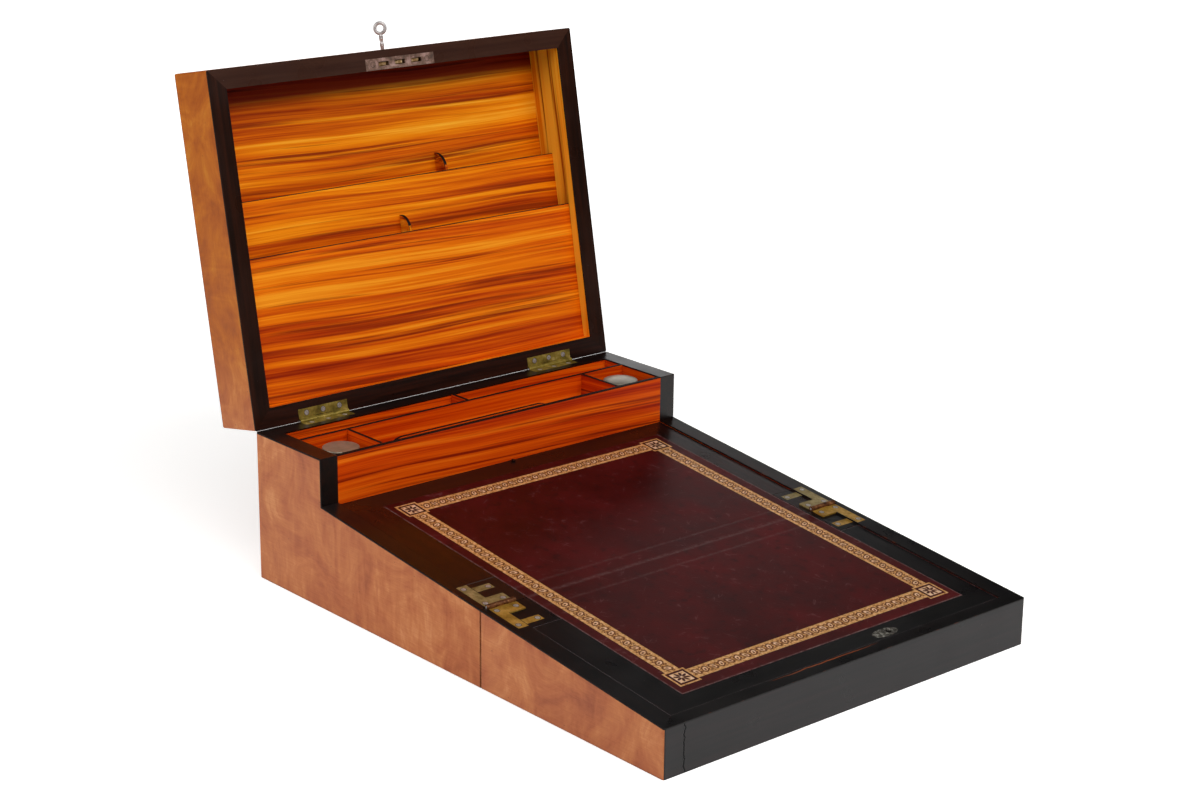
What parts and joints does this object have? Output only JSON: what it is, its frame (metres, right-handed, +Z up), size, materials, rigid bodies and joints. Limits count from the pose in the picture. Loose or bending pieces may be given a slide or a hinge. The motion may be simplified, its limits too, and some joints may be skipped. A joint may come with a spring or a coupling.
{
  "type": "writing slope",
  "caption": "Folding wooden writing box, open: leather-topped slope in two lifting boards, ink and pen tray, deep lid with stationery rack, lock and key.",
  "frame": {"origin": "middle of the base's underside, on the surface that it stands on", "axes": "+X to the writer's right, +Y to the back, +Z up"},
  "size_m": [0.356, 0.5645, 0.4081],
  "materials": {
    "satin_birch_veneer": "figured satin birch veneer, french polished",
    "ebonised_wood": "ebonised and polished",
    "striped_lining_wood": "striped orange veneer, satin",
    "carcass_pine": "bare planed",
    "maroon_leather": "skiver with a gilt tooled border",
    "brass": "aged, dull",
    "steel": "worn bright steel",
    "silver_plate": "tarnished silver plate",
    "ink_glass": "clear pressed glass"
  },
  "bodies": {
    "base": {"base_bottom": "carcass_pine", "base_side_walls": "satin_birch_veneer", "base_rear_wall": "satin_birch_veneer", "base_joint_wall": "satin_birch_veneer", "base_linings": "striped_lining_wood", "base_facings": "ebonised_wood", "tray_fascia": "striped_lining_wood", "tray_floor": "striped_lining_wood", "tray_long_partition": "striped_lining_wood", "tray_dividers": "striped_lining_wood", "pen_rest": "striped_lining_wood", "base_board_bearers": "carcass_pine", "base_hinge_blocks": "ebonised_wood", "base_fold_leather": "maroon_leather", "slope_hinge_base_leaves": "brass", "lid_hinge_base_leaves": "brass", "hinge_pins": "steel"},
    "upper_board": {"upper_board_core": "carcass_pine", "upper_board_border": "ebonised_wood", "upper_board_leather": "maroon_leather", "upper_board_pull": "ebonised_wood"},
    "flap": {"flap_bottom": "carcass_pine", "flap_side_walls": "satin_birch_veneer", "flap_front_wall": "ebonised_wood", "flap_joint_wall": "satin_birch_veneer", "flap_linings": "striped_lining_wood", "flap_facings": "ebonised_wood", "flap_board_bearers": "carcass_pine", "flap_hinge_blocks": "ebonised_wood", "flap_fold_leather": "maroon_leather", "slope_hinge_flap_leaves": "brass", "lock_strike_plate": "brass"},
    "lower_board": {"lower_board_core": "carcass_pine", "lower_board_border": "ebonised_wood", "lower_board_leather": "maroon_leather", "lower_board_catch": "steel"},
    "lid": {"lid_top_panel": "satin_birch_veneer", "lid_side_walls": "satin_birch_veneer", "lid_rear_wall": "satin_birch_veneer", "lid_front_wall": "satin_birch_veneer", "lid_linings": "striped_lining_wood", "lid_facings": "ebonised_wood", "rack_front_divider": "striped_lining_wood", "rack_middle_divider": "striped_lining_wood", "rack_partitions": "striped_lining_wood", "lid_hinge_lid_leaves": "brass", "lock_case": "brass", "lock_selvage": "steel"},
    "bolts": {"lock_bolts": "brass"},
    "key": {"key": "steel"},
    "inkwell_left": {"inkwell_left_bottle": "ink_glass"},
    "inkwell_right": {"inkwell_right_bottle": "ink_glass"},
    "inkwell_left_cap": {"inkwell_left_cap": "silver_plate"},
    "inkwell_right_cap": {"inkwell_right_cap": "silver_plate"}
  },
  "joints": [
    {"name": "lid_hinge", "type": "hinge", "parent": "base", "child": "lid", "pos_m": [0, 0.1385, 0.11875], "axis": [1, 0, 0], "range_deg": [0, 100.8]},
    {"name": "flap_hinge", "type": "hinge", "parent": "base", "child": "flap", "pos_m": [0, -0.1385, 0.0593], "axis": [-1, 0, 0], "range_deg": [0, 180]},
    {"name": "upper_board_lift", "type": "hinge", "parent": "base", "child": "upper_board", "pos_m": [0, -0.1226, 0.05958], "axis": [-1, 0, 0], "range_deg": [-70, 0]},
    {"name": "lower_board_lift", "type": "hinge", "parent": "flap", "child": "lower_board", "pos_m": [0, -0.1544, 0.05582], "axis": [1, 0, 0], "range_deg": [-70, 0]},
    {"name": "inkwell_left_lift", "type": "slide", "parent": "base", "child": "inkwell_left", "axis": [0, 0, -1], "range_m": [-0.045, 0]},
    {"name": "inkwell_right_lift", "type": "slide", "parent": "base", "child": "inkwell_right", "axis": [0, 0, -1], "range_m": [-0.045, 0]},
    {"name": "inkwell_left_cap_lift", "type": "slide", "parent": "inkwell_left", "child": "inkwell_left_cap", "axis": [0, 0, -1], "range_m": [-0.012, 0]},
    {"name": "inkwell_right_cap_lift", "type": "slide", "parent": "inkwell_right", "child": "inkwell_right_cap", "axis": [0, 0, -1], "range_m": [-0.012, 0]},
    {"name": "key_turn", "type": "hinge", "parent": "lid", "child": "key", "pos_m": [0, 0.16026, 0.1146], "axis": [0, 0.1874, 0.9823], "range_deg": [-33, 75]},
    {"name": "bolt_slide", "type": "slide", "parent": "lid", "child": "bolts", "axis": [0, -0.9823, 0.1874], "range_m": [-0.002, 0.0045]}
  ],
  "couplings": [
    {"joint": "key_turn", "follows": "bolt_slide", "rad_per_m": 285.71}
  ]
}
